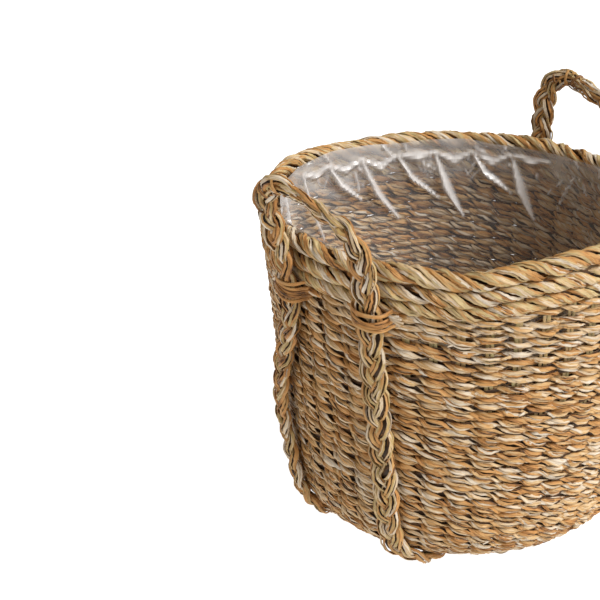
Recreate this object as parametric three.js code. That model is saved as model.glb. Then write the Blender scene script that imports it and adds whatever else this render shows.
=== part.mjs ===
// Lined seagrass storage basket with two braided loop handles.
// Millimetres, +Z up, origin at the middle of the flat underside.
// The handles stand on the X axis: the left one at -X, the right one at +X.

import * as THREE from 'three';

// ---- Driving dimensions -------------------------------------------------

const RIM_HEIGHT = 290;
const FLAT_BASE_RADIUS = 105;
const BASE_THICKNESS = 12;
const CORNER_RADIUS = 50;
const CORNER_LIFT = 3;
const WALL_TOP_HEIGHT = 250;
const WALL_TOP_RADIUS = 168.5;

const COURSE_COUNT = 36;
const COURSE_DEPTH = 7;
const STAKE_THICKNESS = 3;
const LINER_THICKNESS = 1;
const LINER_CLEARANCE = 0.7;
const LINER_TOP = 272;

const TOP_CORD_DIAMETER = 14;
const TOP_CORD_OUTER_RADIUS = 170;
const LOWER_CORD_HEIGHT = 12.5;
const MIDDLE_CORD_SWELL = 1;

const STRAP_WIDTH = 24;
const STRAP_THICKNESS = 9;
const LEG_ANGLE = 14;
const LEG_FOOT_ANGLE = 60;
const LEG_CLEARANCE = 1.2;

const HINGE_HEIGHT = 285.4;
const HINGE_DISTANCE = 176.6;
const HALF_SPREAD = 44;
const LOOP_WIDTH = 17;
const LOOP_THICKNESS = 10;
const LOOP_START = 3.2;
const LOOP_HEIGHT = 61;
const LOOP_SLOPE = 21;
const BACK_CORNER_RADIUS = 22;
const FRONT_CORNER_RADIUS = 26;
const LEG_END_DROP = 1.6;
const HANDLE_LEAN = 13;

const LASHING_BOTTOM = 243;
const LASHING_HEIGHT = 12;
const LASHING_THICKNESS = 2.5;

const GAP = 0.3;
const ROUND_SEGMENTS = 24;
const CORNER_STEPS = 4;
const LEG_STEPS = 20;
const LOOP_STEPS = 26;
const LOOP_CORNER_STEPS = 3;

// ---- Derived dimensions -------------------------------------------------

const CORNER_CENTRE = new THREE.Vector2(FLAT_BASE_RADIUS, CORNER_LIFT + CORNER_RADIUS);
const WALL_TAPER = wallTaper();
const CORNER_LENGTH = CORNER_RADIUS * (Math.PI / 2 - WALL_TAPER);
const WALL_START = cornerPoint(-WALL_TAPER, 0);
const WALL_LENGTH = (WALL_TOP_HEIGHT - WALL_START.y) / Math.cos(WALL_TAPER);
const STAKE_OUTER_INSET = COURSE_DEPTH + GAP;
const STAKE_INNER_INSET = STAKE_OUTER_INSET + STAKE_THICKNESS;
const LINER_OUTER_INSET = STAKE_INNER_INSET + LINER_CLEARANCE;
const LINER_INNER_INSET = LINER_OUTER_INSET + LINER_THICKNESS;
const TOP_CORD_BOTTOM = RIM_HEIGHT - TOP_CORD_DIAMETER;

// ---- Materials ----------------------------------------------------------

const seagrass = material(0xb08a52, 0.75);
const paleSeagrass = material(0xc2a066, 0.72);
const stakeSeagrass = material(0x9c8a4e, 0.7);
const handleSeagrass = material(0xa98d55, 0.72);
const linerFilm = material(0xdfe3e6, 0.15);

function material(color, roughness) {
  return new THREE.MeshStandardMaterial({ color, roughness, metalness: 0 });
}

// ---- Outline of the basket, as (radius, height) -------------------------

// Lean of the wall from the vertical, for a wall tangent to the bottom corner.
function wallTaper() {
  const run = WALL_TOP_RADIUS - FLAT_BASE_RADIUS;
  const rise = WALL_TOP_HEIGHT - CORNER_LIFT - CORNER_RADIUS;
  const reach = Math.hypot(run, rise);
  return Math.acos(CORNER_RADIUS / reach) - Math.atan2(rise, run);
}

// A point of the bottom corner; angle 0 faces outwards and -90 degrees down.
function cornerPoint(angle, inset) {
  const radius = CORNER_RADIUS - inset;
  return new THREE.Vector2(
    CORNER_CENTRE.x + radius * Math.cos(angle),
    CORNER_CENTRE.y + radius * Math.sin(angle),
  );
}

// A point of the straight wall, a distance up from the corner's end.
function wallPoint(distance, inset) {
  const start = cornerPoint(-WALL_TAPER, inset);
  return new THREE.Vector2(
    start.x + distance * Math.sin(WALL_TAPER),
    start.y + distance * Math.cos(WALL_TAPER),
  );
}

// A point at a length along the outside, from the edge of the flat base.
function outlinePoint(length, inset) {
  if (length <= CORNER_LENGTH) {
    return cornerPoint(length / CORNER_RADIUS - Math.PI / 2, inset);
  }
  return wallPoint(length - CORNER_LENGTH, inset);
}

// Corner and wall from bottom to top, a constant inset from the outside.
function wallOutline(inset, top) {
  const points = [];
  for (let step = 0; step <= CORNER_STEPS; step += 1) {
    const share = step / CORNER_STEPS;
    points.push(outlinePoint(share * CORNER_LENGTH, inset));
  }
  const wallTop = wallPoint(WALL_LENGTH, inset);
  points.push(wallTop, new THREE.Vector2(wallTop.x, top));
  return points;
}

// ---- Shared shapes ------------------------------------------------------

// A ring or a round body from its outline, turned about +Z.
function turned(name, outline, finish) {
  const geometry = new THREE.LatheGeometry(outline, ROUND_SEGMENTS);
  const mesh = new THREE.Mesh(geometry, finish);
  mesh.name = name;
  mesh.rotation.x = Math.PI / 2;
  return mesh;
}

function closedOutline(points) {
  return [...points, points[0].clone()];
}

// A flat strap's cross-section with its four edges bevelled.
function strapSection(alongX, alongY) {
  const x = alongX / 2;
  const y = alongY / 2;
  const bevel = Math.min(x, y) / 2;
  const section = new THREE.Shape();
  section.moveTo(x, bevel - y);
  section.lineTo(x, y - bevel);
  section.lineTo(x - bevel, y);
  section.lineTo(bevel - x, y);
  section.lineTo(-x, y - bevel);
  section.lineTo(-x, bevel - y);
  section.lineTo(bevel - x, -y);
  section.lineTo(x - bevel, -y);
  section.closePath();
  return section;
}

// ---- Body of the basket -------------------------------------------------

function wovenBase() {
  const radius = FLAT_BASE_RADIUS - GAP;
  const outline = [
    new THREE.Vector2(0, 0),
    new THREE.Vector2(radius, 0),
    new THREE.Vector2(radius, BASE_THICKNESS),
    new THREE.Vector2(0, BASE_THICKNESS),
  ];
  return turned('woven_base', outline, seagrass);
}

// The layer of upright stakes that every weft course is twined round.
function stakeLayer() {
  const top = TOP_CORD_BOTTOM - GAP;
  const outside = wallOutline(STAKE_OUTER_INSET, top);
  const inside = wallOutline(STAKE_INNER_INSET, top).reverse();
  return turned('stake_layer', closedOutline([...outside, ...inside]), stakeSeagrass);
}

// One twined row of weft, numbered from the base upwards.
function weftCourse(index) {
  const pitch = (CORNER_LENGTH + WALL_LENGTH) / COURSE_COUNT;
  const low = index * pitch;
  const high = low + pitch - GAP;
  const outline = [
    outlinePoint(low, 0),
    outlinePoint(high, 0),
    outlinePoint(high, COURSE_DEPTH),
    outlinePoint(low, COURSE_DEPTH),
  ];
  const number = String(index + 1).padStart(2, '0');
  return turned(`weft_course_${number}`, closedOutline(outline), seagrass);
}

// The film pocket inside the basket, open at the top.
function plasticLiner() {
  const outside = wallOutline(LINER_OUTER_INSET, LINER_TOP);
  const inside = wallOutline(LINER_INNER_INSET, LINER_TOP).reverse();
  const outsideFloor = new THREE.Vector2(0, outside[0].y);
  const insideFloor = new THREE.Vector2(0, inside[inside.length - 1].y);
  return turned('plastic_liner', [outsideFloor, ...outside, ...inside, insideFloor], linerFilm);
}

// ---- Rim border ---------------------------------------------------------

// A twisted border row outside the stakes.
function borderRow(name, bottom, top, swell) {
  const inner = WALL_TOP_RADIUS - COURSE_DEPTH;
  const outer = WALL_TOP_RADIUS + swell;
  const shoulder = (top - bottom) / 4;
  const outline = [
    new THREE.Vector2(inner, bottom),
    new THREE.Vector2(outer - 1, bottom),
    new THREE.Vector2(outer, bottom + shoulder),
    new THREE.Vector2(outer, top - shoulder),
    new THREE.Vector2(outer - 1, top),
    new THREE.Vector2(inner, top),
  ];
  return turned(name, closedOutline(outline), paleSeagrass);
}

// The round top cord, which covers the ends of the stakes.
function topCord() {
  const radius = TOP_CORD_DIAMETER / 2;
  const centre = new THREE.Vector2(TOP_CORD_OUTER_RADIUS - radius, RIM_HEIGHT - radius);
  const sides = 8;
  const outline = [];
  for (let side = 0; side < sides; side += 1) {
    const angle = (side * 2 * Math.PI) / sides;
    outline.push(new THREE.Vector2(
      centre.x + radius * Math.cos(angle),
      centre.y + radius * Math.sin(angle),
    ));
  }
  return turned('rim_cord_top', closedOutline(outline), paleSeagrass);
}

// ---- Handles ------------------------------------------------------------

// The strap's route up the wall, in the XZ plane.
function legPath() {
  const standOff = -(LEG_CLEARANCE + STRAP_THICKNESS / 2);
  const points = [];
  const foot = THREE.MathUtils.degToRad(LEG_FOOT_ANGLE);
  for (let step = 0; step <= CORNER_STEPS; step += 1) {
    const angle = THREE.MathUtils.lerp(-foot, -WALL_TAPER, step / CORNER_STEPS);
    points.push(cornerPoint(angle, standOff));
  }
  points.push(wallPoint(WALL_LENGTH / 3, standOff));
  points.push(wallPoint((2 * WALL_LENGTH) / 3, standOff));
  points.push(wallPoint(WALL_LENGTH, standOff));
  const lean = THREE.MathUtils.degToRad(HANDLE_LEAN);
  const hingeRadius = Math.hypot(HINGE_DISTANCE, HALF_SPREAD);
  const end = new THREE.Vector2(
    hingeRadius - LEG_END_DROP * Math.sin(lean),
    HINGE_HEIGHT - LEG_END_DROP * Math.cos(lean),
  );
  points.push(end);
  return new THREE.CatmullRomCurve3(points.map((p) => new THREE.Vector3(p.x, 0, p.y)));
}

function handleLeg(name, azimuth) {
  const geometry = new THREE.ExtrudeGeometry(strapSection(STRAP_WIDTH, STRAP_THICKNESS), {
    steps: LEG_STEPS,
    extrudePath: legPath(),
  });
  const mesh = new THREE.Mesh(geometry, handleSeagrass);
  mesh.name = name;
  mesh.rotation.z = THREE.MathUtils.degToRad(azimuth);
  return mesh;
}

// Points of a rounded corner of the loop, between two angles in degrees.
function loopCorner(middle, radius, from, to) {
  const points = [];
  for (let step = 0; step <= LOOP_CORNER_STEPS; step += 1) {
    const angle = THREE.MathUtils.degToRad(THREE.MathUtils.lerp(from, to, step / LOOP_CORNER_STEPS));
    points.push([middle.x + radius * Math.cos(angle), middle.y + radius * Math.sin(angle)]);
  }
  return points;
}

// The free loop between the two hinge points, in its own YZ plane. It rises
// straight on the back leg, turns a round corner, slopes down to the front
// and turns a second round corner into the front leg.
function loopPath() {
  const slope = THREE.MathUtils.degToRad(LOOP_SLOPE);
  const backX = HALF_SPREAD - BACK_CORNER_RADIUS;
  const frontX = FRONT_CORNER_RADIUS - HALF_SPREAD;
  const backMiddle = new THREE.Vector2(backX, LOOP_HEIGHT - BACK_CORNER_RADIUS);
  // Both corners touch the same sloping line.
  const fall = (backX - frontX) * Math.tan(slope);
  const tighter = (BACK_CORNER_RADIUS - FRONT_CORNER_RADIUS) / Math.cos(slope);
  const frontMiddle = new THREE.Vector2(frontX, backMiddle.y - fall + tighter);
  const points = [
    [HALF_SPREAD, LOOP_START],
    ...loopCorner(backMiddle, BACK_CORNER_RADIUS, 0, 90 + LOOP_SLOPE),
    ...loopCorner(frontMiddle, FRONT_CORNER_RADIUS, 90 + LOOP_SLOPE, 180),
    [-HALF_SPREAD, LOOP_START],
  ];
  return new THREE.CatmullRomCurve3(points.map(([y, z]) => new THREE.Vector3(0, y, z)));
}

function handleLoop(name, side) {
  const geometry = new THREE.ExtrudeGeometry(strapSection(LOOP_THICKNESS, LOOP_WIDTH), {
    steps: LOOP_STEPS,
    extrudePath: loopPath(),
  });
  const mesh = new THREE.Mesh(geometry, handleSeagrass);
  mesh.name = name;
  mesh.position.set(side * HINGE_DISTANCE, 0, HINGE_HEIGHT);
  mesh.rotation.y = side * THREE.MathUtils.degToRad(HANDLE_LEAN);
  return mesh;
}

// The binding that holds a leg to the wall: a band round the strap's three free sides.
function legLashing(name, azimuth) {
  const back = WALL_TOP_RADIUS + LEG_CLEARANCE;
  const hollow = back + STRAP_THICKNESS + 2 * LEG_CLEARANCE;
  const front = hollow + LASHING_THICKNESS;
  const innerHalf = STRAP_WIDTH / 2 + LEG_CLEARANCE;
  const outerHalf = innerHalf + LASHING_THICKNESS;
  const band = new THREE.Shape();
  band.moveTo(back, -outerHalf);
  band.lineTo(front, -outerHalf);
  band.lineTo(front, outerHalf);
  band.lineTo(back, outerHalf);
  band.lineTo(back, innerHalf);
  band.lineTo(hollow, innerHalf);
  band.lineTo(hollow, -innerHalf);
  band.lineTo(back, -innerHalf);
  band.closePath();
  const geometry = new THREE.ExtrudeGeometry(band, { depth: LASHING_HEIGHT, bevelEnabled: false });
  const mesh = new THREE.Mesh(geometry, seagrass);
  mesh.name = name;
  mesh.position.z = LASHING_BOTTOM;
  mesh.rotation.z = THREE.MathUtils.degToRad(azimuth);
  return mesh;
}

// One handle: a loop, its two legs down the wall and the two lashings.
function handle(label, side) {
  const group = new THREE.Group();
  const centre = side > 0 ? 0 : 180;
  const legs = [
    ['front', centre - side * LEG_ANGLE],
    ['back', centre + side * LEG_ANGLE],
  ];
  for (const [place, azimuth] of legs) {
    group.add(handleLeg(`handle_${label}_leg_${place}`, azimuth));
    group.add(legLashing(`lashing_${label}_${place}`, azimuth));
  }
  group.add(handleLoop(`handle_${label}_loop`, side));
  return group;
}

// ---- Assembly -----------------------------------------------------------

function basket() {
  const group = new THREE.Group();
  group.add(wovenBase(), stakeLayer(), plasticLiner());
  for (let index = 0; index < COURSE_COUNT; index += 1) {
    group.add(weftCourse(index));
  }
  const lowerTop = WALL_TOP_HEIGHT + LOWER_CORD_HEIGHT;
  group.add(borderRow('rim_cord_lower', WALL_TOP_HEIGHT + GAP, lowerTop, 0));
  group.add(borderRow('rim_cord_middle', lowerTop + GAP, TOP_CORD_BOTTOM - GAP, MIDDLE_CORD_SWELL));
  group.add(topCord());
  group.add(handle('left', -1), handle('right', 1));
  return group;
}

export default basket();
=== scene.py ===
"""Looks of the lined seagrass basket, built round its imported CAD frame. Metres, +Z up."""
import math

import bpy
import numpy as np
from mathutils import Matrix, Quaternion, Vector


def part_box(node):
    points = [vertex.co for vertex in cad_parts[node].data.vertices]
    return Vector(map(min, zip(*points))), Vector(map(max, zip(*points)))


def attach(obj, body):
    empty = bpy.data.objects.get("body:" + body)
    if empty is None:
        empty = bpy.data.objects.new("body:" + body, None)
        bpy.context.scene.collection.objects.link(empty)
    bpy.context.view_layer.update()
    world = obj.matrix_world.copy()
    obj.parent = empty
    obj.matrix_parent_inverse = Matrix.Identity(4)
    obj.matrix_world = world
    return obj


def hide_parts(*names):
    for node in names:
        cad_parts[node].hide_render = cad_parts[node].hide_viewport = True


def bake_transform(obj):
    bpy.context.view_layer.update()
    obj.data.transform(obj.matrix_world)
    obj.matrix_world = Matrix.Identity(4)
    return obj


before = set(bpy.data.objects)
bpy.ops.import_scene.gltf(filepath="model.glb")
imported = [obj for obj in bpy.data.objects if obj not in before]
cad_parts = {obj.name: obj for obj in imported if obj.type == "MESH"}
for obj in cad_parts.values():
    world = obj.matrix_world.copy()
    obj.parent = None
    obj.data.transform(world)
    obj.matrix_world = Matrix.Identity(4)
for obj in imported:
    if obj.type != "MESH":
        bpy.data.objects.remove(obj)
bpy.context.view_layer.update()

MM = 0.001
TAU = 2 * math.pi

# ---- Driving values -------------------------------------------------------

CORNER_RADIUS = 50 * MM
STAKES = 48
STEPS_PER_STAKE = 7
COURSES = 36
WALL_THICKNESS = 9 * MM
WEFT_REACH = 2.9 * MM
WEFT_RISE = 1.25 * MM
BLADE_WIDTH = 2.9 * MM
BLADE_THICKNESS = 1.3 * MM
CRINKLE = 0.36 * MM
# Tones below the leaf ramp: near-black painted shade for strips laid behind and inside the strands.
PAINTED_SHADE_TONE = -2.0
SHADE_CORE_TONE = -0.1
ROPE_SHADE_TONE = 0.1
BRAID_PITCH = 57 * MM
LOOP_PITCH = 70 * MM
LEG_ANGLE = math.radians(14)
HINGE_X = 176.6 * MM
HINGE_Z = 285.4 * MM
STRAP_STAND_OFF = 5.6 * MM
HALF_SPREAD = 44 * MM
LOOP_HEIGHT = 61 * MM
LOOP_SLOPE = math.radians(21)
BACK_CORNER_RADIUS = 22 * MM
FRONT_CORNER_RADIUS = 26 * MM
LOOP_START = 12 * MM
LOOP_CORNER_STEPS = 4
NARROWEST = 0.58

# ---- Places taken from the frame --------------------------------------------

BASE_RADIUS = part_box("woven_base")[1].x
FOOT_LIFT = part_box("weft_course_01")[0].z
WALL_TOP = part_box(f"weft_course_{COURSES}")[1].z
WALL_TOP_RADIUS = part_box(f"weft_course_{COURSES}")[1].x
RIM_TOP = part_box("rim_cord_top")[1].z
LASHING_Z = (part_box("lashing_left_front")[0].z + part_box("lashing_left_front")[1].z) / 2


def wall_taper():
    """Lean of the wall from the vertical, where it is tangent to the foot's round corner."""
    run = WALL_TOP_RADIUS - BASE_RADIUS
    rise = WALL_TOP - FOOT_LIFT - CORNER_RADIUS
    return math.acos(CORNER_RADIUS / math.hypot(run, rise)) - math.atan2(rise, run)


TAPER = wall_taper()
CORNER_LENGTH = CORNER_RADIUS * (math.pi / 2 - TAPER)
WALL_START_Z = FOOT_LIFT + CORNER_RADIUS * (1 - math.sin(TAPER))
WALL_LENGTH = (WALL_TOP - WALL_START_Z) / math.cos(TAPER)
TOP_LENGTH = CORNER_LENGTH + WALL_LENGTH
PITCH = TOP_LENGTH / COURSES


# ---- The surface that everything follows --------------------------------------


# Where the hand-made shape leaves a true round: azimuth and spread in degrees, then how far
# it goes outwards and upwards at the rim in millimetres.
BENDS = [
    (128, 36, 3.0, 0.0),
    (102, 27, 2.0, 8.5),
    (170, 20, 0.0, 2.5),
    (219, 9, 0.0, -5.0),
    (243, 13, 0.0, 6.0),
    (262, 12, 0.0, 3.5),
    (-6, 26, 0.0, -7.0),
    (300, 22, 3.0, -2.0),
    (40, 20, -2.0, 1.5),
]


def wobble(theta, height):
    """How the hand-made shape departs from a true round: outwards and upwards."""
    level = np.clip(height / RIM_TOP, 0, 1.1)
    rise = np.clip(height / (100 * MM), 0, 1)
    rise = rise * rise * (3 - 2 * rise)
    outwards = 0.8 * np.sin(3 * theta + 2.1) + 0.7 * np.sin(5 * theta + height * 22)
    upwards = 0.8 * np.sin(7 * theta + 0.3)
    for azimuth, spread, out_mm, up_mm in BENDS:
        apart = (theta - math.radians(azimuth) + math.pi) % TAU - math.pi
        share = np.exp(-((apart / math.radians(spread)) ** 2))
        outwards = outwards + out_mm * share
        upwards = upwards + up_mm * share
    return outwards * rise * MM, upwards * level**3 * MM


def outline(length):
    """Radius, height and slope angle of the outside, at a length from the base's edge.
    A negative length runs over the flat base towards its middle."""
    length = np.asarray(length, float)
    angle = np.clip(length / CORNER_RADIUS - math.pi / 2, -math.pi / 2, -TAPER)
    radius = BASE_RADIUS + CORNER_RADIUS * np.cos(angle) + np.minimum(length, 0)
    height = FOOT_LIFT + CORNER_RADIUS * (1 + np.sin(angle))
    settle = np.clip(-length / 0.02, 0, 1)
    height = height - (FOOT_LIFT - 0.6 * MM) * settle * settle * (3 - 2 * settle)
    up_wall = np.clip(length - CORNER_LENGTH, 0, WALL_LENGTH)
    above = np.maximum(length - TOP_LENGTH, 0)
    radius = radius + up_wall * math.sin(TAPER)
    height = height + up_wall * math.cos(TAPER) + above
    angle = np.where(length > TOP_LENGTH, 0.0, angle)
    return radius, height, angle


def on_surface(theta, length, inset=0.0):
    """Points a distance inside the outer surface, with the outward and upward directions there."""
    theta = np.asarray(theta, float)
    radius, height, angle = outline(np.broadcast_to(length, theta.shape))
    radius = radius - inset * np.cos(angle)
    height = height - inset * np.sin(angle)
    outwards, upwards = wobble(theta, height)
    radius = radius + outwards
    height = height + upwards
    cos_t, sin_t = np.cos(theta), np.sin(theta)
    points = np.stack([radius * cos_t, radius * sin_t, height], -1)
    out = np.stack([np.cos(angle) * cos_t, np.cos(angle) * sin_t, np.sin(angle)], -1)
    up = np.stack([-np.sin(angle) * cos_t, -np.sin(angle) * sin_t, np.cos(angle)], -1)
    return points, out, up


# ---- Smooth random values -------------------------------------------------------


def eased(values, at):
    """Values at whole numbers, joined by smooth steps and read at other places."""
    low = np.floor(at).astype(int)
    share = at - low
    share = share * share * (3 - 2 * share)
    return values[low % len(values)] * (1 - share) + values[(low + 1) % len(values)] * share


def smooth_noise(rng, knots, count, closed=True):
    """count smooth random values between -1 and 1, with this many bends in them."""
    span = knots if closed else knots - 1
    at = np.linspace(0, span, count, endpoint=not closed)
    return eased(rng.uniform(-1, 1, knots), at)


def run_values(rng, count, shortest, longest):
    """A random value that stays the same over each leaf and jumps where the next is laid in."""
    values = np.empty(count)
    start = 0
    while start < count:
        end = start + int(rng.integers(shortest, longest))
        values[start:end] = rng.uniform(0, 1)
        start = end
    return values


# ---- Leaf blades -------------------------------------------------------------------

BLADE_SECTION = np.array([(-1.0, 0.0), (0.0, -0.75), (1.0, 0.0), (0.55, 0.85), (0.05, 0.45), (-0.5, 0.85)])
SHARP_LINES = (0, 2, 4)


def unit(vectors):
    return vectors / np.maximum(np.linalg.norm(vectors, axis=-1, keepdims=True), 1e-12)


def rested(points):
    """Points below a millimetre pressed up, as the floor presses the basket's underside."""
    low = points[:, 2] < 1.0 * MM
    points[low, 2] = (0.15 + 0.85 * np.exp((points[low, 2] / MM - 1.0) / 0.85)) * MM
    return points


class Blades:
    """Leaf blades gathered into one mesh, with the values that their material reads."""

    def __init__(self):
        self.points, self.faces, self.values, self.lines, self.count = [], [], [], [], 0

    def add(self, path, out, width, thickness, tone, closed=False):
        """One blade along a path. out is the way its grooved side faces."""
        n, m = len(path), len(BLADE_SECTION)
        ahead = np.roll(path, -1, 0) - np.roll(path, 1, 0)
        if not closed:
            ahead[0], ahead[-1] = path[1] - path[0], path[-1] - path[-2]
        ahead = unit(ahead)
        side = unit(np.cross(out, ahead))
        face = np.cross(ahead, side)
        across, high = BLADE_SECTION[:, 0], BLADE_SECTION[:, 1]
        width = np.broadcast_to(width, (n,))[:, None, None]
        thickness = np.broadcast_to(thickness, (n,))[:, None, None]
        ring = (
            path[:, None, :]
            + side[:, None, :] * across[None, :, None] * width / 2
            + face[:, None, :] * high[None, :, None] * thickness / 2
        )
        steps = np.linalg.norm(np.diff(path, axis=0), axis=1)
        along = np.concatenate([[0], np.cumsum(steps)])
        values = np.stack(
            [
                np.broadcast_to(np.broadcast_to(tone, (n,))[:, None], (n, m)),
                np.broadcast_to(along[:, None], (n, m)),
                np.broadcast_to(across[None, :], (n, m)),
            ],
            -1,
        )
        self._quads(n, m, closed)
        self.points.append(ring.reshape(-1, 3))
        self.values.append(values.reshape(-1, 3))
        self.lines.append(np.tile(np.arange(m), n))
        self.count += n * m

    def _quads(self, n, m, closed):
        rows = np.arange(n if closed else n - 1)
        cols = np.arange(m)
        row, col = np.meshgrid(rows, cols, indexing="ij")
        next_row, next_col = (row + 1) % n, (col + 1) % m
        quads = np.stack(
            [row * m + col, row * m + next_col, next_row * m + next_col, next_row * m + col], -1
        )
        self.faces.append((quads.reshape(-1, 4) + self.count).tolist())
        if not closed:
            first = (self.count + cols[::-1]).tolist()
            last = (self.count + (n - 1) * m + cols).tolist()
            self.faces.append([first, last])

    def bundle(
        self, rng, centre, outer, beside, size, count, step, blade, bends, wander, closed=False, pale=0.0
    ):
        """Blades side by side round a strand. size is its half width and half depth, step the
        angle between blades, blade their width and thickness, bends how often they wander,
        wander how far, and pale how much paler they are."""
        n = len(centre)
        half_width, half_depth = (np.broadcast_to(part, (n,))[:, None] for part in size)
        twist = 0.95 * wander * smooth_noise(rng, bends // 2, n, closed)
        for index in range(count):
            angle = (index - (count - 1) / 2) * step + twist
            angle = angle + 0.55 * wander * smooth_noise(rng, bends, n, closed)
            cos_a, sin_a = np.cos(angle)[:, None], np.sin(angle)[:, None]
            swell = 1 + 0.24 * smooth_noise(rng, bends, n, closed)[:, None]
            normal = unit(outer * cos_a * half_width + beside * sin_a * half_depth)
            path = centre + outer * cos_a * half_depth * swell + beside * sin_a * half_width * swell
            path = path + normal * (0.7 * MM * smooth_noise(rng, bends, n, closed))[:, None]
            path = path + rng.uniform(-CRINKLE, CRINKLE, (n, 3))
            roll = 0.8 * smooth_noise(rng, bends, n, closed)[:, None]
            facing = normal + (beside * cos_a - outer * sin_a) * roll
            uneven = 0.25 * smooth_noise(rng, bends, n, closed) + rng.uniform(-0.15, 0.15, n)
            width = blade[0] * (1 + uneven)
            tone = run_values(rng, n, n // 14 + 6, n // 5 + 12)
            tone = np.clip(0.06 + pale + 0.88 * tone, 0, 1)
            self.add(path, facing, width, blade[1], tone, closed)

    def piece(self, name, material):
        """The finished object."""
        mesh = bpy.data.meshes.new(name)
        faces = [face for group in self.faces for face in group]
        mesh.from_pydata(rested(np.concatenate(self.points)), [], faces)
        values = np.concatenate(self.values).astype(np.float32)
        for column, label in enumerate(("tone", "along", "across")):
            attribute = mesh.attributes.new(label, "FLOAT", "POINT")
            attribute.data.foreach_set("value", np.ascontiguousarray(values[:, column]))
        mesh.polygons.foreach_set("use_smooth", np.ones(len(mesh.polygons), bool))
        ends = np.empty(len(mesh.edges) * 2, int)
        mesh.edges.foreach_get("vertices", ends)
        lines = np.concatenate(self.lines)[ends.reshape(-1, 2)]
        sharp = (lines[:, 0] == lines[:, 1]) & np.isin(lines[:, 0], SHARP_LINES)
        crease = mesh.attributes.new("sharp_edge", "BOOLEAN", "EDGE")
        crease.data.foreach_set("value", sharp)
        mesh.materials.append(material)
        piece = bpy.data.objects.new(name, mesh)
        bpy.context.scene.collection.objects.link(piece)
        return piece


# ---- Materials --------------------------------------------------------------------


class Nodes:
    """A short way to wire a material."""

    def __init__(self, name):
        self.material = bpy.data.materials.new(name)
        self.material.use_nodes = True
        self.tree = self.material.node_tree
        self.shader = self.tree.nodes["Principled BSDF"]

    def node(self, kind, **settings):
        made = self.tree.nodes.new(kind)
        for key, value in settings.items():
            setattr(made, key, value)
        return made

    def join(self, source, target):
        self.tree.links.new(source, target)

    def attribute(self, label):
        return self.node("ShaderNodeAttribute", attribute_name=label).outputs["Fac"]

    def math(self, operation, first, second):
        made = self.node("ShaderNodeMath", operation=operation)
        for socket, value in zip(made.inputs, (first, second)):
            if isinstance(value, (int, float)):
                socket.default_value = value
            else:
                self.join(value, socket)
        return made.outputs[0]

    def noise(self, vector, scale, detail=2.0, rough=0.5):
        made = self.node("ShaderNodeTexNoise")
        made.inputs["Scale"].default_value = scale
        made.inputs["Detail"].default_value = detail
        made.inputs["Roughness"].default_value = rough
        if vector is not None:
            self.join(vector, made.inputs["Vector"])
        return made.outputs["Fac"]

    def vector(self, x, y, z):
        made = self.node("ShaderNodeCombineXYZ")
        for socket, value in zip(made.inputs, (x, y, z)):
            self.join(value, socket)
        return made.outputs[0]

    def ramp(self, value, stops):
        made = self.node("ShaderNodeValToRGB")
        elements = made.color_ramp.elements
        while len(elements) < len(stops):
            elements.new(0.5)
        for element, (place, colour) in zip(elements, stops):
            element.position = place
            element.color = (*colour, 1)
        self.join(value, made.inputs[0])
        return made.outputs["Color"]

    def mix(self, share, first, second, blend="MIX"):
        made = self.node("ShaderNodeMix", data_type="RGBA", blend_type=blend)
        sockets = [s for s in made.inputs if s.type == "RGBA"]
        for socket, value in zip(sockets, (first, second)):
            if isinstance(value, tuple):
                socket.default_value = (*value, 1)
            else:
                self.join(value, socket)
        if isinstance(share, (int, float)):
            made.inputs[0].default_value = share
        else:
            self.join(share, made.inputs[0])
        return [s for s in made.outputs if s.type == "RGBA"][0]


def leaf_material(name, stops, edge, edge_share):
    """Dried leaf: a colour for each blade, fibres along it, darker edges and blotches."""
    nodes = Nodes(name)
    tone = nodes.attribute("tone")
    along = nodes.attribute("along")
    across = nodes.attribute("across")
    shift = nodes.math("MULTIPLY", tone, 37.0)
    fibre_place = nodes.vector(
        nodes.math("MULTIPLY", along, 45.0), nodes.math("MULTIPLY", across, 4.2), shift
    )
    blotch_place = nodes.vector(
        nodes.math("MULTIPLY", along, 75.0), nodes.math("MULTIPLY", across, 0.6), shift
    )
    fibres = nodes.noise(fibre_place, 1.0, 3.0, 0.6)
    blotches = nodes.noise(blotch_place, 1.0, 2.0, 0.55)
    spread = nodes.math("MULTIPLY", nodes.math("SUBTRACT", blotches, 0.5), 0.95)
    spread = nodes.math("ADD", tone, spread)
    streaks = nodes.math("MULTIPLY", nodes.math("SUBTRACT", fibres, 0.5), 0.95)
    colour = nodes.ramp(nodes.math("ADD", spread, streaks), stops)
    edge_place = nodes.math("POWER", nodes.math("ABSOLUTE", across, 0.0), 3.0)
    colour = nodes.mix(nodes.math("MULTIPLY", edge_place, edge_share), colour, edge)
    nodes.join(colour, nodes.shader.inputs["Base Color"])
    rough = nodes.math("ADD", nodes.math("MULTIPLY", fibres, 0.3), 0.36)
    nodes.join(rough, nodes.shader.inputs["Roughness"])
    bump = nodes.node("ShaderNodeBump")
    bump.inputs["Strength"].default_value = 0.7
    bump.inputs["Distance"].default_value = 0.7 * MM
    nodes.join(fibres, bump.inputs["Height"])
    nodes.join(bump.outputs[0], nodes.shader.inputs["Normal"])
    nodes.shader.inputs["Specular IOR Level"].default_value = 0.3
    return nodes.material


# The darkest colour: dark fibre streaks in the blades, and the painted shade of the strips whose tones sit
# below the ramp.
DARK_STREAK_AND_SHADE = (0.035, 0.018, 0.008)
BROWN = (0.23, 0.10, 0.032)
AMBER = (0.54, 0.255, 0.072)
TAN = (0.58, 0.34, 0.13)
STRAW = (0.65, 0.455, 0.235)
CREAM = (0.70, 0.62, 0.50)
OLIVE = (0.36, 0.29, 0.11)
GREEN_STRAW = (0.54, 0.46, 0.23)

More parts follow.
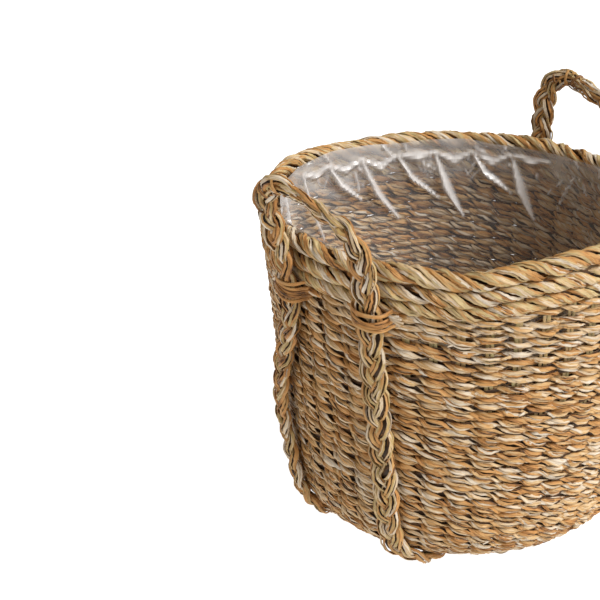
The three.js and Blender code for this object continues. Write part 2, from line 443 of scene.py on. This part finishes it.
WEFT_STOPS = [
    (0.0, DARK_STREAK_AND_SHADE),
    (0.04, BROWN),
    (0.22, AMBER),
    (0.45, TAN),
    (0.68, STRAW),
    (1.0, CREAM),
]
RIM_STOPS = [
    (0.0, DARK_STREAK_AND_SHADE),
    (0.04, BROWN),
    (0.2, AMBER),
    (0.4, TAN),
    (0.55, GREEN_STRAW),
    (0.72, STRAW),
    (1.0, CREAM),
]
STRAP_STOPS = [
    (0.0, DARK_STREAK_AND_SHADE),
    (0.08, BROWN),
    (0.28, AMBER),
    (0.5, TAN),
    (0.66, OLIVE),
    (0.76, STRAW),
    (1.0, CREAM),
]
STAKE_STOPS = [(0.0, TAN), (0.5, GREEN_STRAW), (1.0, STRAW)]

weft_leaf = leaf_material("weft_leaf", WEFT_STOPS, BROWN, 0.5)
rim_leaf = leaf_material("rim_leaf", RIM_STOPS, BROWN, 0.5)
stake_leaf = leaf_material("stake_leaf", STAKE_STOPS, OLIVE, 0.4)
strap_leaf = leaf_material("strap_leaf", STRAP_STOPS, BROWN, 0.6)


def film_material():
    """Clear plastic film: glossy, and whiter and more opaque along its creases and near its top edge, with
    painted highlights on the creases' lit sides.
    """
    nodes = Nodes("clear_film")
    whitening_and_highlight = nodes.attribute("whitening_and_highlight")
    facing = nodes.node("ShaderNodeLayerWeight")
    facing.inputs["Blend"].default_value = 0.35
    gloss = nodes.math("MULTIPLY", facing.outputs["Facing"], 0.13)
    place = nodes.node("ShaderNodeTexCoord").outputs["Object"]
    cloud = nodes.noise(place, 60.0, 3.0, 0.6)
    veil = nodes.math("ADD", nodes.math("MULTIPLY", cloud, 0.9), 0.55)
    alpha = nodes.math("ADD", nodes.math("MULTIPLY", whitening_and_highlight, veil), gloss)
    nodes.join(nodes.math("MINIMUM", nodes.math("ADD", alpha, 0.055), 0.92), nodes.shader.inputs["Alpha"])
    nodes.shader.inputs["Base Color"].default_value = (0.84, 0.81, 0.79, 1)
    nodes.shader.inputs["Roughness"].default_value = 0.14
    bump = nodes.node("ShaderNodeBump")
    bump.inputs["Strength"].default_value = 0.25
    bump.inputs["Distance"].default_value = 1.0 * MM
    nodes.join(cloud, bump.inputs["Height"])
    nodes.join(bump.outputs[0], nodes.shader.inputs["Normal"])
    return nodes.material


clear_film = film_material()


# ---- Wall ---------------------------------------------------------------------------


def looseness(theta, length):
    """How open the weave is: tight over most of the wall, loose near the top of the front."""
    apart = (theta - math.radians(235) + math.pi) % TAU - math.pi
    height = np.clip((length - 0.6 * TOP_LENGTH) / (0.3 * TOP_LENGTH), 0, 1)
    return height * np.exp(-((apart / math.radians(50)) ** 2))


def twined_row(blades, rng, length, stake_count):
    """One row of twining: two strands that pass before and behind each stake in turn."""
    count = stake_count * STEPS_PER_STAKE
    theta = np.arange(count) * TAU / count
    start, out, up = on_surface(theta, length, WALL_THICKNESS / 2 + (1.2 * MM if length < 0 else 0))
    loose = looseness(theta, length)
    drift = smooth_noise(rng, stake_count, count) * (0.85 + 0.9 * loose) * MM
    drift = drift + smooth_noise(rng, 7, count) * 0.8 * MM
    for strand in range(2):
        turn = theta * stake_count / 2 + math.pi * strand + 0.55 * smooth_noise(rng, stake_count, count)
        reach = WEFT_REACH * (1 + 0.18 * smooth_noise(rng, stake_count // 2, count))
        rise = WEFT_RISE * (1 + 0.35 * smooth_noise(rng, stake_count // 2, count))
        roll = turn - 0.42 * np.sin(2 * turn)
        cos_r, sin_r = np.cos(roll)[:, None], np.sin(roll)[:, None]
        outer = cos_r * out - sin_r * up
        beside = cos_r * up + sin_r * out
        across = (reach * np.cos(turn))[:, None]
        level = (drift - rise * np.sin(turn))[:, None]
        centre = start + out * across + up * level
        half_width = 3.05 * MM * (1 - 0.48 * loose) * (1 + 0.26 * smooth_noise(rng, stake_count, count))
        blade = (BLADE_WIDTH, BLADE_THICKNESS)
        size = (half_width, 1.2 * MM)
        blades.bundle(rng, centre, outer, beside, size, 5, 0.72, blade, stake_count, 1.0, True, 0.02)
        # A strip behind the two strands, painted near-black: painted shade in the gaps of the weave.
        shade_backing = start + out * across * 0.8
        blades.add(shade_backing, out, 7.2 * MM * (1 - 0.85 * loose), 0.8 * MM, PAINTED_SHADE_TONE, closed=True)


def stray_tips(blades, rng, length, count):
    """Loose leaf ends that stick out of a row."""
    for _ in range(count):
        start = rng.uniform(0, TAU)
        travel = np.linspace(0, rng.uniform(5, 10), 7)
        theta = start + rng.choice((-1, 1)) * travel * MM / WALL_TOP_RADIUS
        drop = length - travel * MM * rng.uniform(-0.1, 0.45)
        inset = (1.6 - rng.uniform(1.4, 3.2) * travel / travel[-1]) * MM
        points, out, _ = on_surface(theta, drop, inset)
        width = np.linspace(3.4, rng.uniform(0.6, 2.0), 7) * MM
        blades.add(points, out, width, 0.9 * MM, rng.uniform(0.5, 1))


def weft_courses():
    for index in range(COURSES):
        rng = np.random.default_rng(100 + index)
        blades = Blades()
        twined_row(blades, rng, (index + 0.5) * PITCH, STAKES)
        stray_tips(blades, rng, (index + 0.5) * PITCH, 1)
        node = f"weft_course_{index + 1:02d}"
        piece = blades.piece(f"twined_{node}", weft_leaf)
        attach(piece, "basket")
        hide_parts(node)


def woven_base():
    """The flat base: the same twining in smaller and smaller rounds."""
    rng = np.random.default_rng(7)
    blades = Blades()
    rounds = int(BASE_RADIUS / PITCH) - 1
    for index in range(rounds):
        length = -(index + 0.5) * PITCH
        radius = BASE_RADIUS + length
        stake_count = 48 if radius > 60 * MM else 24 if radius > 30 * MM else 12
        twined_row(blades, rng, length, stake_count)
    piece = blades.piece("twined_base", weft_leaf)
    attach(piece, "basket")
    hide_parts("woven_base")


def stakes():
    """Upright pairs of thin strips from the base's middle to the rim."""
    rng = np.random.default_rng(11)
    blades = Blades()
    reach = [-BASE_RADIUS + 7 * MM, -BASE_RADIUS + 60 * MM, -BASE_RADIUS + 31 * MM, -BASE_RADIUS + 60 * MM]
    for stake in range(STAKES):
        for strip in (-1, 1):
            lengths = np.arange(reach[stake % 4], TOP_LENGTH + 22 * MM, 7 * MM)
            radius = outline(lengths)[0]
            aside = strip * np.minimum(1.75 * MM, radius * 0.05) / np.maximum(radius, 5 * MM)
            theta = stake * TAU / STAKES + aside + smooth_noise(rng, 6, len(lengths), False) * 0.004
            points, out, _ = on_surface(theta, lengths, WALL_THICKNESS / 2)
            width = 3.0 * MM * (1 + 0.15 * smooth_noise(rng, 9, len(lengths), False))
            blades.add(points, out, width, 1.2 * MM, rng.uniform(0.2, 1))
    piece = blades.piece("stakes", stake_leaf)
    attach(piece, "basket")
    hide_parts("stake_layer")


# ---- Rim border ------------------------------------------------------------------------


def rope(name, seed, length, inset, radius, turns, core):
    """A border row: three strands twisted round each other and a flat core of this width, the core painted
    near-black as shade between the strands.
    """
    rng = np.random.default_rng(seed)
    blades = Blades()
    count = 460
    theta = np.arange(count) * TAU / count
    start, out, up = on_surface(theta, length, inset)
    start = start + up * (smooth_noise(rng, 30, count) * 0.8 * MM)[:, None]
    ply = 1 / (1 + 1 / math.sin(math.pi / 3))
    for strand in range(3):
        turn = theta * turns + TAU * strand / 3 + 0.3 * smooth_noise(rng, 30, count)
        cos_t, sin_t = np.cos(turn)[:, None], np.sin(turn)[:, None]
        outer = cos_t * out - sin_t * up
        beside = cos_t * up + sin_t * out
        apart = radius * (1 - ply + 0.06 * smooth_noise(rng, 60, count))[:, None]
        size = (radius * ply * 0.95, radius * ply * 0.72)
        middle = start + outer * apart
        blade = (3.1 * MM, 1.9 * MM)
        blades.bundle(rng, middle, outer, beside, size, 6, 0.6, blade, 90, 0.6, True, 0.06)
        heart = start + outer * apart * 0.8
        blades.add(heart, outer, radius * ply * 1.7, radius * ply, ROPE_SHADE_TONE, closed=True)
    # The flat core is painted near-black: painted shade between the strands.
    blades.add(start, out, core, 3.0 * MM, SHADE_CORE_TONE, closed=True)
    piece = blades.piece(f"twisted_{name}", rim_leaf)
    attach(piece, "basket")
    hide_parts(name)


def rim_border():
    rope("rim_cord_lower", 21, TOP_LENGTH + 6 * MM, 4.6 * MM, 6.2 * MM, 22, 12 * MM)
    rope("rim_cord_middle", 22, TOP_LENGTH + 18.0 * MM, 4.8 * MM, 6.9 * MM, 20, 12.6 * MM)
    rope("rim_cord_top", 23, TOP_LENGTH + 31.8 * MM, 6.0 * MM, 7.8 * MM, 18, 11.6 * MM)


# ---- Handles ------------------------------------------------------------------------------


def through(points, spacing):
    """A smooth curve through points, resampled at an even spacing. Extra columns go along."""
    points = np.asarray(points, float)
    padded = np.vstack([2 * points[0] - points[1], points, 2 * points[-1] - points[-2]])
    fine = []
    for k in range(len(points) - 1):
        a, b, c, d = padded[k : k + 4]
        for t in np.linspace(0, 1, 24, endpoint=False):
            fine.append(
                0.5
                * (
                    2 * b
                    + (c - a) * t
                    + (2 * a - 5 * b + 4 * c - d) * t * t
                    + (3 * b - a - 3 * c + d) * t**3
                )
            )
    fine = np.array(fine + [points[-1]])
    travelled = np.concatenate([[0], np.cumsum(np.linalg.norm(np.diff(fine[:, :3], axis=0), axis=1))])
    at = np.arange(0, travelled[-1], spacing)
    return np.stack([np.interp(at, travelled, fine[:, k]) for k in range(fine.shape[1])], -1)


def loop_route():
    """Rows of across, up and width share: the loop in its own plane, above the hinge line.
    It rises straight on the back leg, turns a round corner, slopes down to the front and turns
    a second round corner into the front leg. The strap is narrowest along the slope."""
    back = np.array([HALF_SPREAD - BACK_CORNER_RADIUS, LOOP_HEIGHT - BACK_CORNER_RADIUS])
    front = np.array([FRONT_CORNER_RADIUS - HALF_SPREAD, back[1]])
    front[1] -= (back[0] - front[0]) * math.tan(LOOP_SLOPE)
    front[1] += (BACK_CORNER_RADIUS - FRONT_CORNER_RADIUS) / math.cos(LOOP_SLOPE)
    quarter = math.pi / 2
    rows = [(HALF_SPREAD, LOOP_START)]
    for angle in np.linspace(0, quarter + LOOP_SLOPE, LOOP_CORNER_STEPS):
        rows.append(back + BACK_CORNER_RADIUS * np.array([math.cos(angle), math.sin(angle)]))
    for angle in np.linspace(quarter + LOOP_SLOPE, math.pi, LOOP_CORNER_STEPS):
        rows.append(front + FRONT_CORNER_RADIUS * np.array([math.cos(angle), math.sin(angle)]))
    rows.append((-HALF_SPREAD, LOOP_START))
    rows = np.array(rows)
    steps = np.linalg.norm(np.diff(rows, axis=0), axis=1)
    share = np.concatenate([[0], np.cumsum(steps)]) / steps.sum()
    narrow = np.minimum(np.clip((share - 0.22) / 0.22, 0, 1), np.clip((0.98 - share) / 0.28, 0, 1))
    return np.column_stack([rows, 1 - (1 - NARROWEST) * narrow])


def leg_route(azimuth, drift, foot_turn, bow):
    """Rows of point, facing and width share up one leg, ending just under the hinge.
    drift is how far the leg leans sideways towards its foot, foot_turn how far the foot goes on,
    and bow how far it swings sideways and stands off the wall half-way up."""
    lengths = np.array([0.010, 0.022, 0.036, 0.055, 0.08, 0.11, 0.15, 0.19, 0.23, 0.262])
    half_way = np.exp(-(((lengths - 0.165) / 0.06) ** 2))
    inset = -STRAP_STAND_OFF - bow[1] * half_way
    inset[:2] = (-2.0 * MM, -4.8 * MM)
    down = np.clip(1 - lengths / 0.25, 0, 1)
    foot = np.clip(1 - lengths / 0.06, 0, 1)
    theta = azimuth + math.radians(drift) * np.minimum(down * 1.8, 1) + math.radians(foot_turn) * foot
    theta = theta + math.radians(bow[0]) * half_way
    points, out, _ = on_surface(theta, lengths, inset)
    share = np.ones((len(lengths), 1))
    share[:2, 0] = (0.6, 0.85)
    return np.hstack([points, out, share])


def handle_route(side, drifts, foot_turns, bows, lean, lift):
    """The whole strap from one foot to the other, with the way it faces."""
    centre = 0.0 if side > 0 else math.pi
    up_axis = np.array([side * math.sin(lean), 0, math.cos(lean)])
    facing = np.array([side * math.cos(lean), 0, -math.sin(lean)])
    hinge = np.array([side * HINGE_X, 0, HINGE_Z])
    loop = []
    for across, high, share in loop_route():
        aside = math.atan2(across, HINGE_X)
        outwards, upwards = wobble(np.array(centre + side * aside), RIM_TOP)
        shift = np.array([side * outwards, 0, upwards])
        point = hinge + shift + up_axis * high * lift + np.array([0, across, 0])
        loop.append([*point, *facing, share])
    back = leg_route(centre + side * LEG_ANGLE, drifts[0], foot_turns[0], bows[0])
    front = leg_route(centre - side * LEG_ANGLE, drifts[1], foot_turns[1], bows[1])
    return through(np.vstack([back, loop, front[::-1]]), 2.0 * MM)


def corner_wraps(blades, rng, centre, ahead, out, beside):
    """Leaf wound round the fold at the loop's highest corner."""
    corner = int(np.argmax(centre[:, 2]))
    for _ in range(12):
        at = corner + int(rng.integers(-12, 6))
        turn = rng.uniform(0, TAU) + np.linspace(0, rng.uniform(1.6, 3.4), 14)
        slant = rng.uniform(-5, 5) * MM * np.linspace(-1, 1, 14)
        facing = beside[at] * np.cos(turn)[:, None] + out[at] * np.sin(turn)[:, None]
        path = centre[at] + beside[at] * (7.0 * MM * np.cos(turn))[:, None]
        path = path + out[at] * (5.0 * MM * np.sin(turn))[:, None] + ahead[at] * slant[:, None]
        blades.add(path, facing, 2.7 * MM, 1.8 * MM, rng.uniform(0.05, 0.5))


def braid(name, seed, route, nodes):
    """A flat braid of three strands, each of several blades, that bends at the rim."""
    rng = np.random.default_rng(seed)
    centre, out, share = route[:, :3], unit(route[:, 3:6]), route[:, 6]
    count = len(centre)
    ahead = unit(np.gradient(centre, axis=0))
    out = unit(out - ahead * np.sum(out * ahead, 1, keepdims=True))
    beside = np.cross(ahead, out)
    pitch = BRAID_PITCH + (LOOP_PITCH - BRAID_PITCH) * np.clip((1 - share) / 0.4, 0, 1)
    turned = np.cumsum(TAU * 2.0 * MM / pitch)
    flip = np.clip((count / 2 - np.arange(count)) / 12, -1, 1)
    blades = Blades()
    for strand in range(3):
        turn = turned + TAU * strand / 3 + 0.25 * smooth_noise(rng, 14, count, False)
        sway = 6.4 * MM * share * np.sin(turn)
        depth = flip * 2.3 * MM * np.sin(2 * turn)
        middle = centre + beside * sway[:, None] + out * depth[:, None]
        heading = unit(np.gradient(middle, axis=0))
        across = unit(np.cross(heading, out))
        top = np.cross(across, heading)
        size = (4.5 * MM * (0.4 + 0.6 * share), 2.2 * MM * (0.6 + 0.4 * share))
        blade = (2.9 * MM * (0.5 + 0.5 * share), 1.7 * MM)
        blades.bundle(rng, middle, top, across, size, 7, TAU / 7, blade, 60, 0.7, pale=0.09)
        # A strip inside each strand, painted near-black: painted shade between its blades.
        blades.add(middle, top, 5.8 * MM * share, 1.8 * MM, SHADE_CORE_TONE)
    corner_wraps(blades, rng, centre, ahead, out, beside)
    piece = blades.piece(name, strap_leaf)
    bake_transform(piece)
    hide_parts(*nodes)


def lashing(name, seed, azimuth, tuft_side):
    """Turns of leaf that hold a leg to the wall, with their cut ends to one side."""
    rng = np.random.default_rng(seed)
    length = TOP_LENGTH - (WALL_TOP - LASHING_Z)
    points, out, up = on_surface(np.array([azimuth]), length)
    origin, out, up = points[0], out[0], up[0]
    aside = np.cross(up, out)
    blades = Blades()
    half_arc = [(19, -4), (15.6, 1), (13.8, 7), (9, 11.6)]
    arc = [(-across, high) for across, high in half_arc] + [(0, 13.2)] + half_arc[::-1]
    for turn in range(6):
        level = (turn - 2.5) * 2.4 + rng.uniform(-0.9, 0.9)
        slope = rng.uniform(-0.4, 0.06)
        sag = rng.uniform(0.5, 3.4)
        proud = 1 + rng.uniform(-0.05, 0.1)
        rows = []
        for across, high in arc:
            drop = sag * math.cos(across / 18 * math.pi / 2)
            lift = level + slope * across - drop
            place = origin + (aside * across + out * high * proud + up * lift) * MM
            rows.append([*place, *(aside * across / 16 + out * 0.8)])
        route = through(rows, 1.6 * MM)
        width = rng.uniform(2.4, 3.4) * MM
        blades.add(route[:, :3], unit(route[:, 3:6]), width, 2.6 * MM, rng.uniform(0.05, 0.4))
    for _ in range(6):
        spread = rng.uniform(-1, 1)
        reach = rng.uniform(9, 16)
        rows = []
        for travel in np.linspace(0, reach, 4):
            across = tuft_side * (13 + travel)
            high = 1.5 + 3.6 * math.sin(travel / reach * 2.0)
            lift = 1.5 + spread * travel * 0.45 - travel * 0.2
            rows.append([*(origin + (aside * across + out * high + up * lift) * MM), *out])
        route = through(rows, 1.6 * MM)
        width = np.linspace(3.4, 1.8, len(route)) * MM
        blades.add(route[:, :3], route[:, 3:6], width, 1.1 * MM, rng.uniform(0.7, 1))
    piece = blades.piece(f"leaf_{name}", weft_leaf)
    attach(piece, "basket")
    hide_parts(name)


# For each handle, the values for the back leg come before those for the front leg: the sideways
# lean of the leg and the turn of its foot in degrees, and its bow in degrees and metres. lift is
# the loop's share of its full height.
HANDLES = {
    "left": {
        "side": -1,
        "seed": 31,
        "drifts": (11.0, 2.0),
        "foot_turns": (0.0, -15.0),
        "bows": ((-5, 5 * MM), (0, 1 * MM)),
        "lean": math.radians(15),
        "lift": 0.97,
    },
    "right": {
        "side": 1,
        "seed": 41,
        "drifts": (4.0, 2.0),
        "foot_turns": (3.0, -4.0),
        "bows": ((0, 1 * MM), (0, 1 * MM)),
        "lean": math.radians(11),
        "lift": 0.98,
    },
}


def handles():
    for label, shape in HANDLES.items():
        side, seed = shape["side"], shape["seed"]
        nodes = [f"handle_{label}_{part}" for part in ("leg_front", "leg_back", "loop")]
        leans = (side * shape["drifts"][0], -side * shape["drifts"][1])
        turns = [side * value for value in shape["foot_turns"]]
        route = handle_route(side, leans, turns, shape["bows"], shape["lean"], shape["lift"])
        braid(f"braided_handle_{label}", seed, route, nodes)
        centre = 0.0 if side > 0 else math.pi
        lashing(f"lashing_{label}_front", seed + 1, centre - side * LEG_ANGLE, 1)
        lashing(f"lashing_{label}_back", seed + 2, centre + side * LEG_ANGLE, -1)


# ---- Liner ----------------------------------------------------------------------------------------

LINER_INSET = 12.6 * MM
LINER_COLUMNS = 432
LINER_STEP = 3.2 * MM
LINER_THICKNESS = 0.25 * MM

# The film's edge is gathered at even places round the back, where the folds are longest and the key light
# falls on the film's inside; their lit sides carry painted highlights.
GATHERS = 7
FIRST_GATHER = 104
GATHER_STEP = -14
GATHER_HEIGHT = 270


def facets(rng, around, height, cell, count):
    """Heights between 0 and 1 joined by flat triangles, like crumpled film."""
    values = rng.uniform(0, 1, (count, 64))
    u = around / TAU * count + 0.3 * np.sin(height / cell * 0.9)
    v = height / cell + 0.35 * np.sin(around * count / 7)
    i, j = np.floor(u).astype(int), np.floor(v).astype(int)
    a, b = u - i, v - j
    corner = [values[(i + di) % count, (j + dj) % 64] for di, dj in ((0, 0), (1, 0), (0, 1), (1, 1))]
    lower = corner[0] + (corner[1] - corner[0]) * a + (corner[3] - corner[1]) * b
    upper = corner[0] + (corner[2] - corner[0]) * b + (corner[3] - corner[2]) * a
    return np.where(a > b, lower, upper)


def fold_field(theta, height):
    """How far the folds push the film inwards, and how white they make it: crease whitening, broad on the
    side that faces the light as a painted highlight.
    """
    push = np.zeros_like(theta)
    whitening_and_highlight = np.zeros_like(theta)
    radius = WALL_TOP_RADIUS - LINER_INSET
    for points, tall, strength in gathered_folds() + hidden_folds() + small_folds():
        widest = max(half for _, _, half in points)
        for (azimuth_a, z_a, half_a), (azimuth_b, z_b, half_b) in zip(points, points[1:]):
            apart = (theta - math.radians(azimuth_a) + math.pi) % TAU - math.pi
            x, y = apart * radius, height - z_a * MM
            run, rise = math.radians(azimuth_b - azimuth_a) * radius, (z_b - z_a) * MM
            along = np.clip((x * run + y * rise) / math.hypot(run, rise) ** 2, 0, 1)
            away = np.hypot(x - run * along, y - rise * along)
            # The fold's lit side gets a broad painted highlight, the other side only a thin whitened line.
            lit = x * rise - y * run > 0
            half = (half_a + (half_b - half_a) * along) * MM
            tent = np.clip(1 - away / half, 0, 1)
            push = np.maximum(push, tent * tall * half / widest)
            whitening_and_highlight = np.maximum(whitening_and_highlight, strength * np.where(lit, tent**0.9, tent**5))
    return push, whitening_and_highlight


def gathered_folds():
    """Sharp folds: a swag from each gather to the next, and under it a crease that leans away and
    widens half-way down. A fold is its points, as azimuth in degrees, height and half width in
    millimetres, then how far it stands into the basket, and how white it is: crease whitening, with
    a painted highlight on its lit side."""
    rng = np.random.default_rng(63)
    folds = []
    for index in range(GATHERS):
        azimuth = FIRST_GATHER + index * GATHER_STEP
        long_fold = index % 2 == 0
        drop = rng.uniform(58, 70) if long_fold else rng.uniform(34, 46)
        lean = rng.uniform(-16, -9)
        belly = rng.uniform(6, 9) if long_fold else rng.uniform(3, 6)
        knee = (azimuth + 0.35 * lean, GATHER_HEIGHT - 0.55 * drop, belly)
        crease = [(azimuth, GATHER_HEIGHT, 2), knee, (azimuth + lean, GATHER_HEIGHT - drop, 2)]
        folds.append((crease, 6, rng.uniform(0.75, 0.95)))
        dip = (azimuth + 0.5 * GATHER_STEP, GATHER_HEIGHT - rng.uniform(2, 10), rng.uniform(4, 9))
        swag = [(azimuth, GATHER_HEIGHT + 2, 2), dip, (azimuth + GATHER_STEP, GATHER_HEIGHT + 2, 2)]
        folds.append((swag, 4, rng.uniform(0.6, 0.9)))
    return folds


def hidden_folds():
    """Folds of the same kind round the rest of the basket."""
    rng = np.random.default_rng(61)
    folds = []
    for azimuth in range(118, 362, 17):
        top = rng.uniform(262, 279)
        end = rng.uniform(185, 240)
        lean = rng.uniform(-12, 12)
        middle = (azimuth + lean * rng.uniform(0.1, 0.9), (top + end) / 2, rng.uniform(2, 8))
        points = [(azimuth, top, 1), middle, (azimuth + lean, end, 1)]
        folds.append((points, rng.uniform(3, 7), rng.uniform(0.4, 0.8)))
    return folds


def small_folds():
    """Short creases all round, just under the film's top edge."""
    rng = np.random.default_rng(62)
    folds = []
    for _ in range(90):
        azimuth = rng.uniform(0, 360)
        top = rng.uniform(255, 284)
        end = (azimuth + rng.uniform(-7, 7), top - rng.uniform(4, 22), 0.8)
        folds.append(([(azimuth, top, rng.uniform(1.0, 3.5)), end], 2, rng.uniform(0.25, 0.7)))
    return folds


def film_shape():
    """The film's outer and inner layer of points, in rows from the bottom's middle to the top
    edge, and how white each point is: crease whitening, haze and painted highlight."""
    rng = np.random.default_rng(60)
    theta = np.arange(LINER_COLUMNS) * TAU / LINER_COLUMNS
    top = TOP_LENGTH + 33 * MM + 2.5 * MM * smooth_noise(rng, 29, LINER_COLUMNS)
    low = -BASE_RADIUS + 2 * MM
    rows = int((TOP_LENGTH - low) / LINER_STEP) + 9
    share = np.linspace(0, 1, rows)[:, None]
    lengths = low + (top[None, :] - low) * share
    around = np.broadcast_to(theta, lengths.shape)
    height = outline(lengths)[1]
    level = np.clip((height - 60 * MM) / (200 * MM), 0.06, 1)
    past_rim = np.clip((lengths - TOP_LENGTH - 8 * MM) / (16 * MM), 0, 1)
    push, whitening_and_highlight = fold_field(around, height)
    crumple = 3.4 * facets(rng, around, height, 30 * MM, 26)
    crumple = crumple + 1.6 * facets(rng, around, height, 12 * MM, 61)
    push = push + crumple * MM * level * (1 - 0.6 * past_rim) + 2.6 * MM * past_rim
    edge = np.clip((height - 236 * MM) / (40 * MM), 0, 1)
    # The haze is strongest where the film's inside faces the key light, round azimuth 100 degrees: painted
    # light.
    lit_side_share = 0.55 + 0.45 * np.cos(around - math.radians(100))
    haze = facets(rng, around, height, 14 * MM, 45) ** 2
    haze = haze + 0.3 * facets(rng, around, height, 7 * MM, 80)
    whitening_and_highlight = np.clip(whitening_and_highlight + 0.8 * edge * haze * lit_side_share, 0, 1)
    insets = (LINER_INSET + push, LINER_INSET + push + LINER_THICKNESS)
    layers = [on_surface(around, lengths, inset)[0] for inset in insets]
    return layers, whitening_and_highlight


def bag_faces(rows, columns):
    """Faces of a closed bag: two layers of points joined at the lip, then a point in the middle of
    each layer's bottom."""
    size = rows * columns
    row, col = np.meshgrid(np.arange(rows - 1) * columns, np.arange(columns), indexing="ij")
    after = (col + 1) % columns
    above = row + columns
    outer = np.stack([row + col, row + after, above + after, above + col], -1)
    inner = outer[..., ::-1] + size
    col = np.arange(columns)
    after = (col + 1) % columns
    last = (rows - 1) * columns
    lip = np.stack([last + col, last + after, last + after + size, last + col + size], -1)
    middle_outer = np.stack([after, col, np.full(columns, 2 * size)], -1)
    middle_inner = np.stack([col + size, after + size, np.full(columns, 2 * size + 1)], -1)
    groups = (outer, inner, lip, middle_outer, middle_inner)
    return [face for group in groups for face in group.reshape(-1, group.shape[-1]).tolist()]


def liner():
    """A bag of clear film that lies inside the basket, crumpled near its top edge."""
    layers, whitening_and_highlight = film_shape()
    middles = [layer[0].mean(0)[None] for layer in layers]
    points = np.concatenate([layer.reshape(-1, 3) for layer in layers] + middles)
    mesh = bpy.data.meshes.new("film_liner")
    mesh.from_pydata(points, [], bag_faces(*whitening_and_highlight.shape))
    values = np.concatenate([whitening_and_highlight.ravel(), whitening_and_highlight.ravel(), [0.0, 0.0]]).astype(np.float32)
    mesh.attributes.new("whitening_and_highlight", "FLOAT", "POINT").data.foreach_set("value", values)
    mesh.materials.append(clear_film)
    piece = bpy.data.objects.new("film_liner", mesh)
    bpy.context.scene.collection.objects.link(piece)
    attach(piece, "basket")
    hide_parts("plastic_liner")


# ---- Stage, lights and camera ------------------------------------------------------------------

CAMERA_AZIMUTH = math.radians(-52.5)
CAMERA_ELEVATION = math.radians(27.4)
CAMERA_DISTANCE = 1.146
CAMERA_PAN = math.radians(-7.25)
CAMERA_TILT = math.radians(1.89)
CAMERA_ROLL = math.radians(0.86)
CAMERA_LENS = 76.1
FLOOR_HALF_SIDE = 9.0


def camera():
    back = Vector(
        (
            math.sin(CAMERA_AZIMUTH) * math.cos(CAMERA_ELEVATION),
            -math.cos(CAMERA_AZIMUTH) * math.cos(CAMERA_ELEVATION),
            math.sin(CAMERA_ELEVATION),
        )
    )
    data = bpy.data.cameras.new("camera")
    data.lens = CAMERA_LENS
    data.sensor_width = 36
    made = bpy.data.objects.new("camera", data)
    made.location = Vector((0, 0, RIM_TOP / 2)) + back * CAMERA_DISTANCE
    turn = (-back).to_track_quat("-Z", "Y")
    turn = turn @ Quaternion((0, 0, 1), CAMERA_ROLL)
    turn = turn @ Quaternion((0, 1, 0), -CAMERA_PAN)
    turn = turn @ Quaternion((1, 0, 0), CAMERA_TILT)
    made.rotation_mode = "QUATERNION"
    made.rotation_quaternion = turn
    bpy.context.scene.collection.objects.link(made)
    bpy.context.scene.camera = made


def sun_light(name, place, strength, spread, target=(0, 0, 0)):
    data = bpy.data.lights.new(name, "SUN")
    data.angle = math.radians(spread)
    data.energy = strength
    made = bpy.data.objects.new(name, data)
    made.location = place
    made.rotation_mode = "QUATERNION"
    made.rotation_quaternion = (Vector(target) - Vector(place)).to_track_quat("-Z", "Y")
    bpy.context.scene.collection.objects.link(made)


def floor():
    """A plain pale floor that gives off light, as a lit studio sweep does."""
    mesh = bpy.data.meshes.new("floor")
    half = FLOOR_HALF_SIDE
    corners = [(-half, -half, 0), (half, -half, 0), (half, half, 0), (-half, half, 0)]
    mesh.from_pydata(corners, [], [(0, 1, 2, 3)])
    nodes = Nodes("floor_paint")
    nodes.shader.inputs["Roughness"].default_value = 0.9
    nodes.shader.inputs["Base Color"].default_value = (0.3, 0.3, 0.3, 1)
    nodes.shader.inputs["Emission Color"].default_value = (1, 1, 1, 1)
    nodes.shader.inputs["Emission Strength"].default_value = 1.0
    mesh.materials.append(nodes.material)
    made = bpy.data.objects.new("floor", mesh)
    bpy.context.scene.collection.objects.link(made)


def studio():
    world = bpy.data.worlds.new("studio")
    world.use_nodes = True
    world.node_tree.nodes["Background"].inputs[0].default_value = (1.0, 0.93, 0.85, 1)
    world.node_tree.nodes["Background"].inputs[1].default_value = 0.40
    bpy.context.scene.world = world
    sun_light("key", (0.35, -1.6, 1.6), 3.4, 38)
    bpy.context.scene.view_settings.view_transform = "Standard"


camera()
floor()
studio()
stakes()
woven_base()
weft_courses()
rim_border()
handles()
liner()
